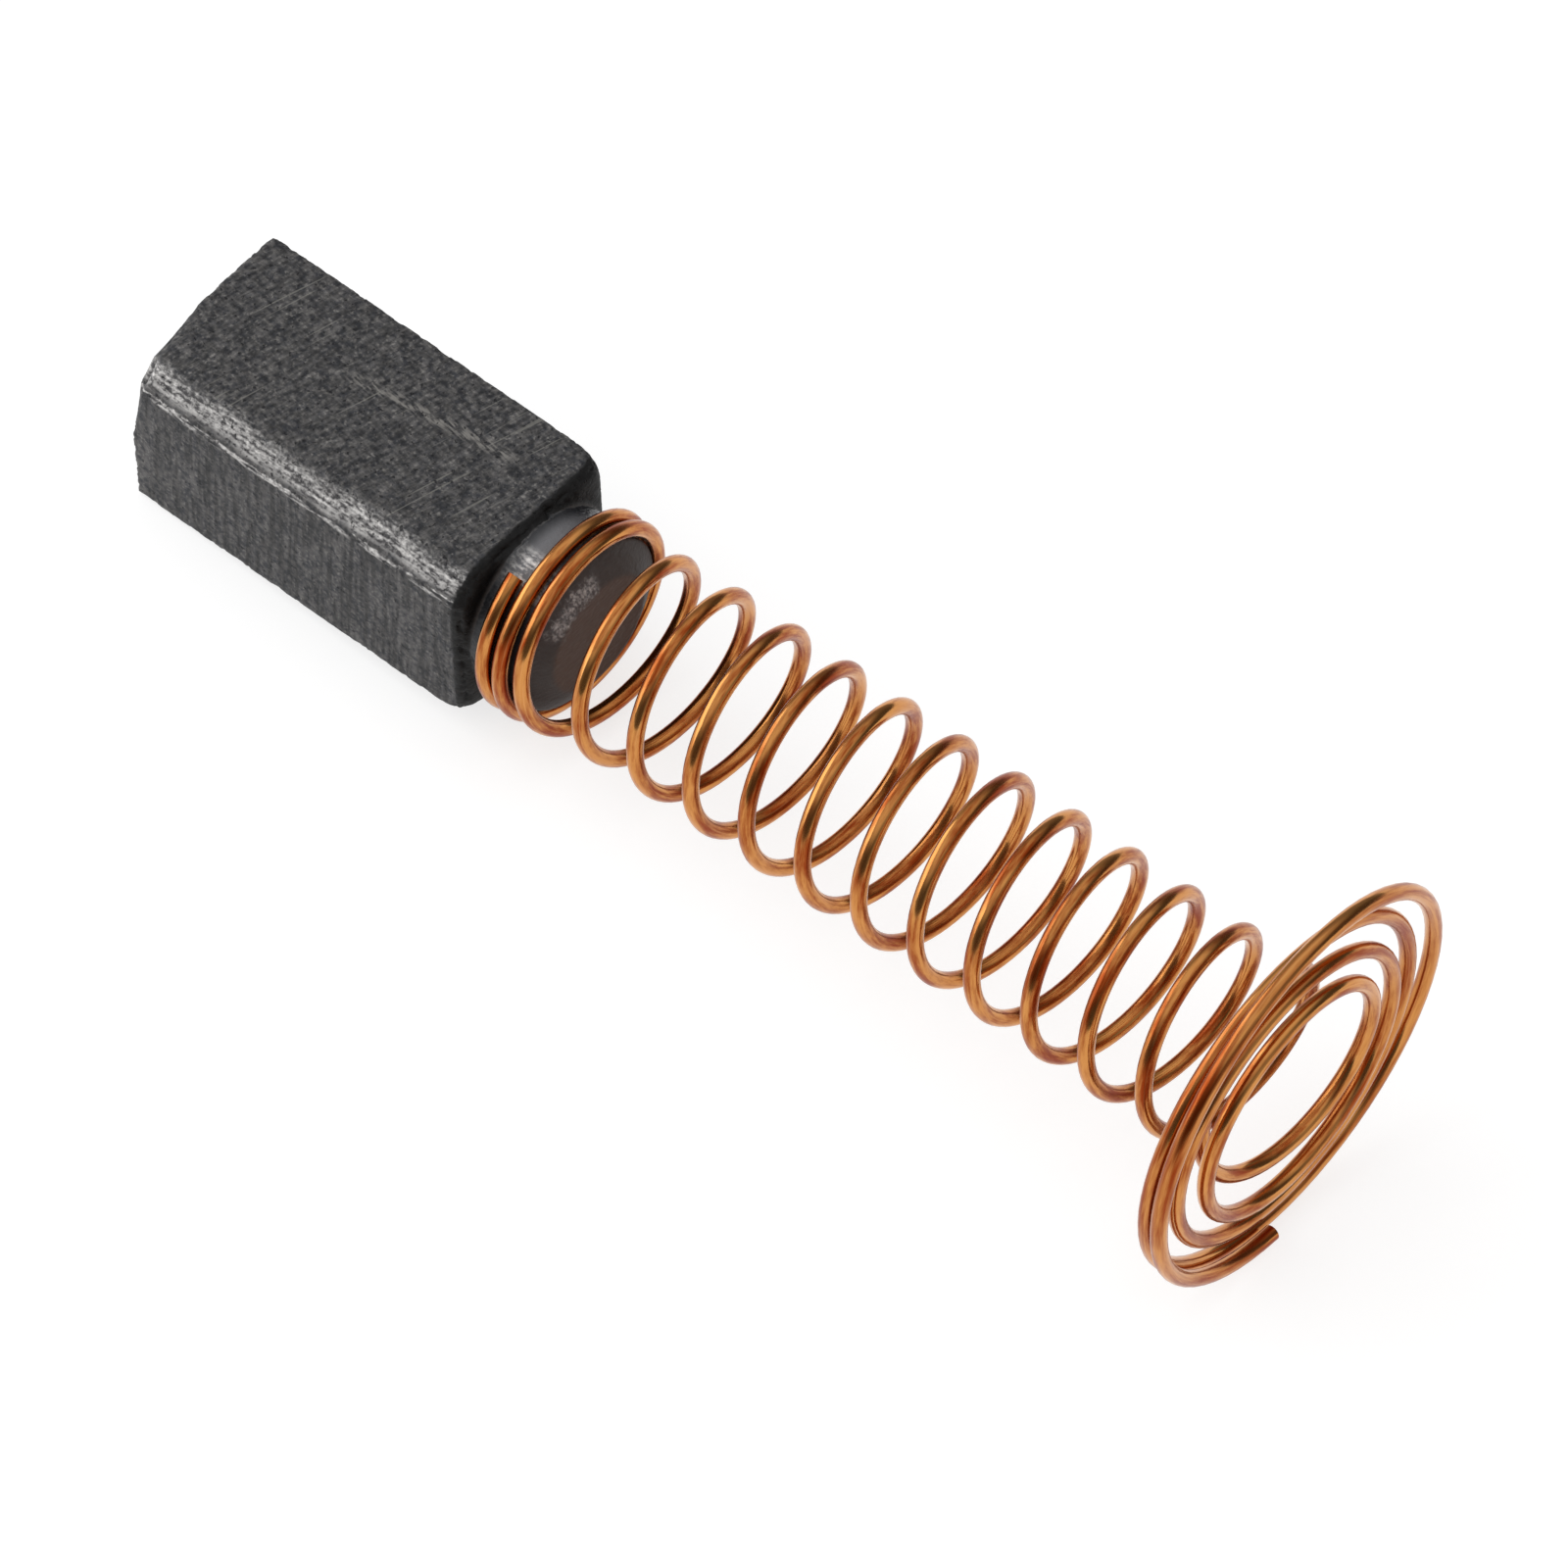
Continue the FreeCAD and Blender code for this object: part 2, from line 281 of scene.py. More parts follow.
def pressed_graphite():
    """Pressed graphite, ground on its long faces: dark grey with a dull sheen, mottled by warm
    flecks and bluish pits, and crossed by fine grinding strokes. The guide chamfer and the boss
    were never ground, so they keep the glossy skin of the die."""
    material = bpy.data.materials.new("pressed_ground_graphite")
    material.use_nodes = True
    tree = material.node_tree
    tree.nodes.clear()

    # Places are in millimetres from the middle of the wear face, along the block's own sides.
    to_brush = AT_REST.inverted()
    seat = add_node(tree, "ShaderNodeTexCoord", {})
    where = add_node(tree, "ShaderNodeMapping", {
        "Location": to_brush.to_translation(), "Rotation": to_brush.to_euler(),
        "Scale": to_brush.to_scale()}, {"Vector": seat.outputs["Object"]})
    place = add_node(tree, "ShaderNodeSeparateXYZ", {}, {0: where})
    surface = add_node(tree, "ShaderNodeNewGeometry", {})
    facing = add_node(tree, "ShaderNodeSeparateXYZ", {}, {0: surface.outputs["Normal"]})
    up = add_node(tree, "ShaderNodeMapRange", {
        "interpolation_type": "SMOOTHSTEP", "From Min": FACING[0], "From Max": FACING[1]}, {
        "Value": facing.outputs["Z"]})
    sideways = add_node(tree, "ShaderNodeMath", {"operation": "ABSOLUTE"}, {0: facing.outputs["Y"]})
    on_side = add_node(tree, "ShaderNodeMapRange", {
        "interpolation_type": "SMOOTHSTEP", "From Min": FACING[0], "From Max": FACING[1]}, {
        "Value": sideways})
    on_boss = add_node(tree, "ShaderNodeMapRange", {
        "interpolation_type": "SMOOTHSTEP", "From Min": BLOCK_LENGTH,
        "From Max": BLOCK_LENGTH + BOSS_BLEND}, {"Value": place.outputs["X"]})

    # The mottled ground faces
    mottle = add_node(tree, "ShaderNodeTexNoise", {
        "Scale": 1.0 / MOTTLE_SIZE, "Detail": 3.0, "Roughness": 0.6}, {"Vector": where})
    mottled = add_node(tree, "ShaderNodeMapRange", {"From Min": 0.35, "From Max": 0.65}, {
        "Value": mottle})
    ground = add_node(tree, "ShaderNodeMix", {
        "data_type": "RGBA", "A": linear(GRAPHITE["dark"]), "B": linear(GRAPHITE["light"])}, {
        "Factor": mottled})
    flecks = add_node(tree, "ShaderNodeTexNoise", {
        "Scale": 1.0 / FLECK_SIZE, "Detail": 1.0}, {"Vector": where})
    flecked = add_node(tree, "ShaderNodeMapRange", {
        "interpolation_type": "SMOOTHSTEP", "From Min": 0.58, "From Max": 0.76, "To Max": 0.45}, {
        "Value": flecks})
    ground = add_node(tree, "ShaderNodeMix", {
        "data_type": "RGBA", "B": linear(GRAPHITE["fleck"])}, {"Factor": flecked, "A": ground})

    # Grinding strokes: one set on the top, another on the sides
    top_way = add_node(tree, "ShaderNodeMapping", {
        "vector_type": "TEXTURE", "Rotation": (0.0, 0.0, TOP_LEAN), "Scale": TOP_STROKE}, {
        "Vector": where})
    side_way = add_node(tree, "ShaderNodeMapping", {
        "vector_type": "TEXTURE", "Rotation": (0.0, SIDE_LEAN, 0.0), "Scale": SIDE_STROKE}, {
        "Vector": where})
    way = add_node(tree, "ShaderNodeMix", {"data_type": "VECTOR"}, {
        "Factor": on_side, "A": top_way, "B": side_way})
    cross_way = add_node(tree, "ShaderNodeMapping", {
        "vector_type": "TEXTURE", "Rotation": (0.0, 0.0, TOP_LEAN / 2.0), "Scale": CROSS_STROKE}, {
        "Vector": where})
    cross_strokes = add_node(tree, "ShaderNodeTexNoise", {"Scale": 1.0, "Detail": 2.0}, {
        "Vector": cross_way})
    crossed = add_node(tree, "ShaderNodeMapRange", {
        "From Min": MOST_NOISE[0], "From Max": MOST_NOISE[1], "To Min": CROSS_CONTRAST[0],
        "To Max": CROSS_CONTRAST[1]}, {"Value": cross_strokes})
    strokes = add_node(tree, "ShaderNodeTexNoise", {"Scale": 1.0, "Detail": 2.0}, {"Vector": way})
    top_stroked = add_node(tree, "ShaderNodeMapRange", {
        "From Min": MOST_NOISE[0], "From Max": MOST_NOISE[1], "To Min": TOP_CONTRAST[0],
        "To Max": TOP_CONTRAST[1]}, {"Value": strokes})
    top_stroked = add_node(tree, "ShaderNodeMath", {"operation": "MULTIPLY"}, {
        0: top_stroked, 1: crossed})
    side_stroked = add_node(tree, "ShaderNodeMapRange", {
        "From Min": MOST_NOISE[0], "From Max": MOST_NOISE[1], "To Min": SIDE_CONTRAST[0],
        "To Max": SIDE_CONTRAST[1]}, {"Value": strokes})
    stroked = add_node(tree, "ShaderNodeMix", {}, {
        "Factor": on_side, "A": top_stroked, "B": side_stroked})
    ground = add_node(tree, "ShaderNodeVectorMath", {"operation": "SCALE"}, {
        0: ground, "Scale": stroked})

    # A few long scratches on the top
    scratch_way = add_node(tree, "ShaderNodeMapping", {
        "vector_type": "TEXTURE", "Rotation": (0.0, 0.0, TOP_LEAN), "Scale": SCRATCH}, {
        "Vector": where})
    scratches = add_node(tree, "ShaderNodeTexNoise", {"Scale": 1.0, "Detail": 1.0}, {
        "Vector": scratch_way})
    scratched = add_node(tree, "ShaderNodeMapRange", {
        "interpolation_type": "SMOOTHSTEP", "From Min": 0.67, "From Max": 0.75, "To Max": 0.5}, {
        "Value": scratches})
    scratched = add_node(tree, "ShaderNodeMath", {"operation": "MULTIPLY"}, {0: scratched, 1: up})
    ground = add_node(tree, "ShaderNodeMix", {
        "data_type": "RGBA", "B": linear(GRAPHITE["scratch"])}, {"Factor": scratched, "A": ground})

    # The row of rub marks, which is broken where the cross strokes are dark
    rub_way = (RUB_TO - RUB_FROM).normalized()
    from_rub = add_node(tree, "ShaderNodeVectorMath", {
        "operation": "DOT_PRODUCT", 1: (-rub_way.y, rub_way.x, 0.0)}, {0: where})
    from_rub = add_node(tree, "ShaderNodeMath", {
        "operation": "SUBTRACT", 1: rub_way.cross(RUB_FROM)}, {0: from_rub})
    from_rub = add_node(tree, "ShaderNodeMath", {"operation": "ABSOLUTE"}, {0: from_rub})
    rubbed_and_sheen = add_node(tree, "ShaderNodeMapRange", {
        "interpolation_type": "SMOOTHSTEP", "From Min": RUB_HALF_WIDTH, "From Max": RUB_CORE}, {
        "Value": from_rub})
    past_start = add_node(tree, "ShaderNodeMapRange", {
        "interpolation_type": "SMOOTHSTEP", "From Min": RUB_FROM.x - RUB_FADE,
        "From Max": RUB_FROM.x + RUB_FADE}, {"Value": place.outputs["X"]})
    before_end = add_node(tree, "ShaderNodeMapRange", {
        "interpolation_type": "SMOOTHSTEP", "From Min": RUB_TO.x + RUB_FADE,
        "From Max": RUB_TO.x - RUB_FADE}, {"Value": place.outputs["X"]})
    dabs = add_node(tree, "ShaderNodeMapRange", {
        "interpolation_type": "SMOOTHSTEP", "From Min": 0.44, "From Max": 0.6}, {"Value": cross_strokes})
    for mask in (up, past_start, before_end, dabs):
        rubbed_and_sheen = add_node(tree, "ShaderNodeMath", {"operation": "MULTIPLY"}, {0: rubbed_and_sheen, 1: mask})
    ground = add_node(tree, "ShaderNodeMix", {
        "data_type": "RGBA", "B": linear(GRAPHITE["fleck"])}, {"Factor": rubbed_and_sheen, "A": ground})

    # The die's glossy skin on the chamfer, with painted highlights: a bright, streaky band of painted
    # glints from below its top edge to past the middle, and a broken painted highlight streak along its
    # lower edge. Across is how far down the chamfer a place lies, and noises of 0.5 on average move the
    # edges of the band and the streak to and fro.
    across = add_node(tree, "ShaderNodeVectorMath", {
        "operation": "DOT_PRODUCT", 1: (0.0, -math.sqrt(0.5), -math.sqrt(0.5))}, {0: where})
    top_edge = (BLOCK_HEIGHT / 2 - BLOCK_WIDTH / 2 + GUIDE_CHAMFER) * math.sqrt(0.5)
    across = add_node(tree, "ShaderNodeMath", {"operation": "ADD", 1: top_edge}, {0: across})
    sparkle_way = add_node(tree, "ShaderNodeMapping", {
        "vector_type": "TEXTURE", "Scale": SPARKLE}, {"Vector": where})
    sparkles = add_node(tree, "ShaderNodeTexNoise", {"Scale": 1.0, "Detail": 3.0, "Roughness": 0.6}, {
        "Vector": sparkle_way})
    streak_way = add_node(tree, "ShaderNodeMapping", {
        "vector_type": "TEXTURE", "Scale": STREAK}, {"Vector": where})
    streaks = add_node(tree, "ShaderNodeTexNoise", {"Scale": 1.0, "Detail": 1.0}, {
        "Vector": streak_way})
    drift = add_node(tree, "ShaderNodeTexNoise", {"Scale": BAND_DRIFTS_PER_MM, "Detail": 2.0}, {
        "Vector": where})
    drift = add_node(tree, "ShaderNodeMath", {
        "operation": "MULTIPLY_ADD", 1: BAND_DRIFT, 2: -(BAND_DRIFT + BAND_FRAY) / 2.0}, {0: drift})
    ragged = add_node(tree, "ShaderNodeMath", {"operation": "MULTIPLY_ADD", 1: BAND_FRAY}, {
        0: sparkles, 2: drift})
    ragged = add_node(tree, "ShaderNodeMath", {"operation": "ADD"}, {0: across, 1: ragged})
    below_top = add_node(tree, "ShaderNodeMapRange", {
        "interpolation_type": "SMOOTHSTEP", "From Min": BAND_START[0], "From Max": BAND_START[1]}, {
        "Value": ragged})
    above_end = add_node(tree, "ShaderNodeMapRange", {
        "interpolation_type": "SMOOTHSTEP", "From Min": BAND_END[1], "From Max": BAND_END[0]}, {
        "Value": ragged})
    highlight_band = add_node(tree, "ShaderNodeMath", {"operation": "MULTIPLY"}, {0: below_top, 1: above_end})
    frayed = add_node(tree, "ShaderNodeMath", {
        "operation": "MULTIPLY_ADD", 1: LOWER_STREAK_FRAY, 2: -LOWER_STREAK_FRAY / 2.0}, {
        0: sparkles})
    frayed = add_node(tree, "ShaderNodeMath", {"operation": "ADD"}, {0: across, 1: frayed})
    from_lower_streak = add_node(tree, "ShaderNodeMath", {
        "operation": "SUBTRACT", 1: LOWER_STREAK}, {0: frayed})
    from_lower_streak = add_node(tree, "ShaderNodeMath", {"operation": "ABSOLUTE"}, {
        0: from_lower_streak})
    lower_highlight_streak = add_node(tree, "ShaderNodeMapRange", {
        "interpolation_type": "SMOOTHSTEP", "From Min": LOWER_STREAK_HALF_WIDTH,
        "From Max": LOWER_STREAK_CORE}, {"Value": from_lower_streak})
    broken = add_node(tree, "ShaderNodeMapRange", {
        "interpolation_type": "SMOOTHSTEP", "From Min": 0.4, "From Max": 0.54}, {"Value": streaks})
    lower_highlight_streak = add_node(tree, "ShaderNodeMath", {"operation": "MULTIPLY"}, {
        0: lower_highlight_streak, 1: broken})
    skin = add_node(tree, "ShaderNodeMath", {"operation": "MAXIMUM"}, {0: highlight_band, 1: lower_highlight_streak})
    skin_here = add_node(tree, "ShaderNodeMapRange", {
        "interpolation_type": "SMOOTHSTEP", "From Min": BLOCK_LENGTH,
        "From Max": BLOCK_LENGTH - SKIN_FADE}, {"Value": place.outputs["X"]})
    skin = add_node(tree, "ShaderNodeMath", {"operation": "MULTIPLY"}, {0: skin, 1: skin_here})
    towards_guide = add_node(tree, "ShaderNodeVectorMath", {
        "operation": "DOT_PRODUCT", 1: (0.0, -math.sqrt(0.5), math.sqrt(0.5))}, {
        0: surface.outputs["Normal"]})
    on_guide = add_node(tree, "ShaderNodeMapRange", {"From Min": 0.3, "From Max": 0.6}, {
        "Value": towards_guide})
    skin = add_node(tree, "ShaderNodeMath", {"operation": "MULTIPLY"}, {0: skin, 1: on_guide})
    # The sparkling grains are painted glints, on the chamfer's band and on the boss
    grains = add_node(tree, "ShaderNodeMix", {"Factor": 0.4}, {"A": sparkles, "B": streaks})
    painted_glints = add_node(tree, "ShaderNodeMapRange", {"From Min": 0.42, "From Max": 0.67}, {
        "Value": grains})
    skin_and_glint_colour = add_node(tree, "ShaderNodeMix", {
        "data_type": "RGBA", "A": linear(GRAPHITE["die skin"]), "B": linear(GRAPHITE["painted glint"])}, {
        "Factor": painted_glints})

    # The boss: the same skin, dark, with painted shade round its root, and with a painted grey sheen and
    # a painted glinting highlight beside the wire's end and a painted highlight patch on its cone. To
    # sheen and to highlight are 1 on the line of the boss's side that faces their way, and less all
    # round it.
    sheen_way = (0.0, -math.cos(SHEEN_ANGLE) / BOSS_RADIUS, -math.sin(SHEEN_ANGLE) / BOSS_RADIUS)
    to_sheen = add_node(tree, "ShaderNodeVectorMath", {"operation": "DOT_PRODUCT", 1: sheen_way}, {
        0: where})
    patch_way = (0.0, -math.cos(PATCH_ANGLE), -math.sin(PATCH_ANGLE))
    to_patch = add_node(tree, "ShaderNodeVectorMath", {"operation": "DOT_PRODUCT", 1: patch_way}, {
        0: where})
    off_axis = add_node(tree, "ShaderNodeVectorMath", {"operation": "MULTIPLY", 1: (0.0, 1.0, 1.0)}, {
        0: where})
    off_axis = add_node(tree, "ShaderNodeVectorMath", {"operation": "LENGTH"}, {0: off_axis})
    to_patch = add_node(tree, "ShaderNodeMath", {"operation": "DIVIDE"}, {0: to_patch, 1: off_axis})
    highlight_patch = add_node(tree, "ShaderNodeMapRange", {
        "interpolation_type": "SMOOTHSTEP", "From Min": 0.82, "From Max": 0.93}, {"Value": to_patch})
    from_rim = add_node(tree, "ShaderNodeMath", {"operation": "SUBTRACT", 1: PATCH_RADIUS}, {
        0: off_axis})
    from_rim = add_node(tree, "ShaderNodeMath", {"operation": "ABSOLUTE"}, {0: from_rim})
    from_rim = add_node(tree, "ShaderNodeMath", {"operation": "MULTIPLY_ADD", 1: PATCH_FRAY}, {
        0: mottle, 2: from_rim})
    at_rim = add_node(tree, "ShaderNodeMapRange", {
        "interpolation_type": "SMOOTHSTEP", "From Min": PATCH_FRAY / 2.0 + PATCH_HALF_WIDTH,
        "From Max": PATCH_FRAY / 2.0 + PATCH_CORE, "To Max": 0.8}, {"Value": from_rim})
    on_cone = add_node(tree, "ShaderNodeMath", {
        "operation": "GREATER_THAN", 1: BLOCK_LENGTH + BOSS_LENGTH - BOSS_BEVEL_LENGTH}, {
        0: place.outputs["X"]})
    for mask in (at_rim, on_cone):
        highlight_patch = add_node(tree, "ShaderNodeMath", {"operation": "MULTIPLY"}, {0: highlight_patch, 1: mask})
    # A painted grey sheen and a painted glinting highlight on the boss's side, and a painted highlight
    # patch on its cone
    painted_sheen = add_node(tree, "ShaderNodeMapRange", {
        "interpolation_type": "SMOOTHSTEP", "From Min": 0.7, "From Max": 1.0}, {"Value": to_sheen})
    painted_sheen = add_node(tree, "ShaderNodeMath", {"operation": "MAXIMUM"}, {0: painted_sheen, 1: highlight_patch})
    highlight_way = (0.0, -math.cos(HIGHLIGHT_ANGLE) / BOSS_RADIUS, -math.sin(HIGHLIGHT_ANGLE) / BOSS_RADIUS)
    to_highlight = add_node(tree, "ShaderNodeVectorMath", {"operation": "DOT_PRODUCT", 1: highlight_way}, {
        0: where})
    painted_highlight = add_node(tree, "ShaderNodeMapRange", {
        "interpolation_type": "SMOOTHSTEP", "From Min": 0.96, "From Max": 0.995}, {
        "Value": to_highlight})
    painted_highlight = add_node(tree, "ShaderNodeMath", {"operation": "MAXIMUM"}, {
        0: painted_highlight, 1: highlight_patch})
    painted_highlight = add_node(tree, "ShaderNodeMath", {"operation": "MULTIPLY"}, {
        0: painted_highlight, 1: painted_glints})
    boss_colour = add_node(tree, "ShaderNodeMix", {
        "data_type": "RGBA", "A": linear(GRAPHITE["boss"]), "B": linear(GRAPHITE["rubbed_and_sheen"])}, {
        "Factor": painted_sheen})
    boss_colour = add_node(tree, "ShaderNodeMix", {
        "data_type": "RGBA", "B": linear(GRAPHITE["painted glint"])}, {
        "Factor": painted_highlight, "A": boss_colour})
    # Painted shade in the crease round the boss's root, in the pit colour
    root_shade = add_node(tree, "ShaderNodeMapRange", {
        "interpolation_type": "SMOOTHSTEP", "From Min": BLOCK_LENGTH + ROOT_SHADE_REACH,
        "From Max": BLOCK_LENGTH + BOSS_BLEND, "To Max": 0.8}, {"Value": place.outputs["X"]})
    boss_colour = add_node(tree, "ShaderNodeMix", {
        "data_type": "RGBA", "B": linear(GRAPHITE["pit_and_root_shade"])}, {"Factor": root_shade, "A": boss_colour})
    colour = add_node(tree, "ShaderNodeMix", {"data_type": "RGBA"}, {
        "Factor": on_boss, "A": ground, "B": boss_colour})
    colour = add_node(tree, "ShaderNodeMix", {"data_type": "RGBA"}, {
        "Factor": skin, "A": colour, "B": skin_and_glint_colour})

    # Pits, everywhere but on the boss
    pits = add_node(tree, "ShaderNodeTexNoise", {"Scale": 1.0 / PIT_SIZE, "Detail": 2.0}, {
        "Vector": where})
    pitted = add_node(tree, "ShaderNodeMapRange", {
        "interpolation_type": "SMOOTHSTEP", "From Min": 0.38, "From Max": 0.28, "To Max": 0.85}, {
        "Value": pits})
    pitted = add_node(tree, "ShaderNodeMath", {"operation": "SUBTRACT", "use_clamp": True}, {
        0: pitted, 1: on_boss})
    colour = add_node(tree, "ShaderNodeMix", {
        "data_type": "RGBA", "B": linear(GRAPHITE["pit_and_root_shade"])}, {"Factor": pitted, "A": colour})

    # The faces towards the spring, and the crumbled edges round them, get painted shade: black on the
    # shoulder, and browner on the boss, whose flat tip takes a painted brown reflection of the copper
    # wire.
    raggedly = add_node(tree, "ShaderNodeMath", {
        "operation": "MULTIPLY_ADD", 1: SHADE_FRAY, 2: -SHADE_FRAY / 2.0}, {0: mottle})
    raggedly = add_node(tree, "ShaderNodeMath", {"operation": "ADD"}, {
        0: facing.outputs["X"], 1: raggedly})
    at_shoulder = add_node(tree, "ShaderNodeMapRange", {
        "interpolation_type": "SMOOTHSTEP", "From Min": BLOCK_LENGTH - SHOULDER_SHADE[0],
        "From Max": BLOCK_LENGTH - SHOULDER_SHADE[1], "To Max": 0.3}, {
        "Value": place.outputs["X"]})
    at_shoulder = add_node(tree, "ShaderNodeMath", {"operation": "SUBTRACT", "use_clamp": True}, {
        0: at_shoulder, 1: on_boss})
    raggedly = add_node(tree, "ShaderNodeMath", {"operation": "ADD"}, {0: raggedly, 1: at_shoulder})
    painted_shade_share = add_node(tree, "ShaderNodeMapRange", {
        "interpolation_type": "SMOOTHSTEP", "From Min": 0.1, "From Max": 0.45, "To Max": 0.95}, {
        "Value": raggedly})
    painted_shade_share = add_node(tree, "ShaderNodeMath", {"operation": "SUBTRACT", "use_clamp": True}, {
        0: painted_shade_share, 1: highlight_patch})
    # The cone takes a greyish painted shade, and the flat tip a brown painted reflection of the copper
    # wire
    on_tip = add_node(tree, "ShaderNodeMapRange", {
        "interpolation_type": "SMOOTHSTEP", "From Min": TIP_RADIUS + TIP_BLEND,
        "From Max": TIP_RADIUS - TIP_BLEND}, {"Value": off_axis})
    boss_shade_and_reflection = add_node(tree, "ShaderNodeMix", {
        "data_type": "RGBA", "A": linear(GRAPHITE["cone"]), "B": linear(GRAPHITE["tip"])}, {
        "Factor": on_tip})
    painted_shade = add_node(tree, "ShaderNodeMix", {"data_type": "RGBA", "A": linear(GRAPHITE["painted_shade"])}, {
        "Factor": on_boss, "B": boss_shade_and_reflection})
    colour = add_node(tree, "ShaderNodeMix", {"data_type": "RGBA"}, {
        "Factor": painted_shade_share, "A": colour, "B": painted_shade})

    # The grain and the strokes stand up, the pits go down, and the bare skin is glossier.
    height = add_node(tree, "ShaderNodeMath", {"operation": "ADD"}, {0: mottle, 1: strokes})
    height = add_node(tree, "ShaderNodeMath", {"operation": "SUBTRACT"}, {0: height, 1: pitted})
    relief = add_node(tree, "ShaderNodeBump", {"Strength": 1.0, "Distance": RELIEF * MM}, {
        "Height": height})
    glossy = add_node(tree, "ShaderNodeMath", {"operation": "MAXIMUM"}, {0: skin, 1: on_boss})
    glossy = add_node(tree, "ShaderNodeMath", {"operation": "SUBTRACT", "use_clamp": True}, {
        0: glossy, 1: painted_shade_share})
    roughness = add_node(tree, "ShaderNodeMapRange", {"To Min": 0.62, "To Max": 0.28}, {
        "Value": glossy})
    shader = add_node(tree, "ShaderNodeBsdfPrincipled", {"IOR": 1.5, "Specular IOR Level": 0.3}, {
        "Base Color": colour, "Roughness": roughness, "Normal": relief})
    add_node(tree, "ShaderNodeOutputMaterial", {}, {"Surface": shader})
    return material


graphite_brush = build_block()
graphite_brush.data.materials.append(pressed_graphite())
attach(graphite_brush, "root")
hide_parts("brush_block")

# Contact spring. Hard-drawn phosphor bronze wire, wound in one go: closed coils squeeze the boss,
# open coils press the brush forward and carry its current, and a wide, nearly flat spiral seats in
# the holder's cap. Sizes in mm, and places along the wire in turns from its end on the boss.

WIRE_RADIUS = 0.2
GRIP_CLEARANCE = 0.03        # drawn clear of the boss that the real coils squeeze
FIRST_COIL_GAP = 0.367       # from the shoulder to the first coil
CLOSED_PITCH = 0.5           # the closed coils lie 0.1 mm apart
OPEN_COIL_DIAMETER = 5.11    # outside
OPEN_PITCH = 1.66
OPEN_TURNS = 11.87           # from the last closed coil to the start of the spiral
OPENING_TURNS = 0.38         # over these the closed coils fan out to the open pitch
NARROWING_TURNS = 0.9        # over these the coils narrow behind the boss
SPIRAL_TURNS = 3.85
SPIRAL_GROWTH = 0.784        # radius gained per turn
SPIRAL_SETBACK = 0.2         # each turn lies this far back inside the one before it
WIDENING_TURNS = 0.93        # over these the coils start to widen
FLATTENING_DELAY = 0.46      # the pitch closes this many turns after the widening starts
FLATTENING_TURNS = 0.93
LAST_TURNS = 0.81            # after the spiral stops growing
LAST_TURN_CLOSING = 0.82     # radius lost per turn there
CLOSING_TURNS = 0.46
LAST_TURN_STEP = 0.727       # how far the last turn moves along the axis, clear of the one inside
STEP_LEAD = 0.35             # the move starts this many turns before the spiral stops growing
STEP_TURNS = 1.0
SPIRAL_LEAN = 0.042          # slope of the spiral's plane against a square one
SPRING_LIFT = 0.2            # the axis rises from the boss, because the wide end rests on the floor
LIFT_LENGTH = 3.0
SPRING_SLOPE = 0.028
START_ANGLE = math.radians(-61.6)      # of the wire's end, round the boss from its front
NEARBY = 1e-3                # turns to both sides of a place that tell which way the wire runs
RINGS_PER_TURN = 64
WIRE_SIDES = 20

FIRST_STATION = BLOCK_LENGTH + FIRST_COIL_GAP + WIRE_RADIUS
GRIP_RADIUS = BOSS_RADIUS + GRIP_CLEARANCE + WIRE_RADIUS
OPEN_COIL_RADIUS = OPEN_COIL_DIAMETER / 2 - WIRE_RADIUS
BOSS_END = BLOCK_LENGTH + BOSS_LENGTH
GRIP_TURNS = (BOSS_END - BOSS_BEVEL_LENGTH - FIRST_STATION) / CLOSED_PITCH
WIDENS_AT = GRIP_TURNS + OPEN_TURNS
FLATTENS_AT = WIDENS_AT + FLATTENING_DELAY
CLOSES_IN_AT = WIDENS_AT + SPIRAL_TURNS
STEPS_OUT_AT = CLOSES_IN_AT - STEP_LEAD
WIRE_TURNS = CLOSES_IN_AT + LAST_TURNS


def eased(turn, start, over):
    """A share from 0 to 1 that rises smoothly over some turns."""
    share = min(max((turn - start) / over, 0.0), 1.0)
    return share * share * (3.0 - 2.0 * share)


def eased_turns(turn, start, over):
    """The turns that lie past a start, with a smooth beginning."""
    passed = (turn - start) / over
    share = min(max(passed, 0.0), 1.0)
    return over * (share ** 3 - share ** 4 / 2.0 + max(passed - 1.0, 0.0))


def coil_radius(turn):
    """Radius of the wire's centre line."""
    narrowed = (GRIP_RADIUS - OPEN_COIL_RADIUS) * eased(turn, GRIP_TURNS, NARROWING_TURNS)
    widened = SPIRAL_GROWTH * eased_turns(turn, WIDENS_AT, WIDENING_TURNS)
    stopped = (SPIRAL_GROWTH + LAST_TURN_CLOSING) * eased_turns(turn, CLOSES_IN_AT, CLOSING_TURNS)
    return GRIP_RADIUS - narrowed + widened - stopped


def coil_station(turn):
    """Distance of the wire's centre line from the wear face."""
    opened = (OPEN_PITCH - CLOSED_PITCH) * eased_turns(turn, GRIP_TURNS, OPENING_TURNS)
    flattened = (OPEN_PITCH + SPIRAL_SETBACK) * eased_turns(turn, FLATTENS_AT, FLATTENING_TURNS)
    stepped = LAST_TURN_STEP * eased(turn, STEPS_OUT_AT, STEP_TURNS)
    lean = SPIRAL_LEAN * eased(turn, WIDENS_AT - WIDENING_TURNS, 2.0 * WIDENING_TURNS)
    leaned = lean * coil_radius(turn) * math.cos(2.0 * math.pi * turn)
    return FIRST_STATION + CLOSED_PITCH * turn + opened - flattened + stepped + leaned


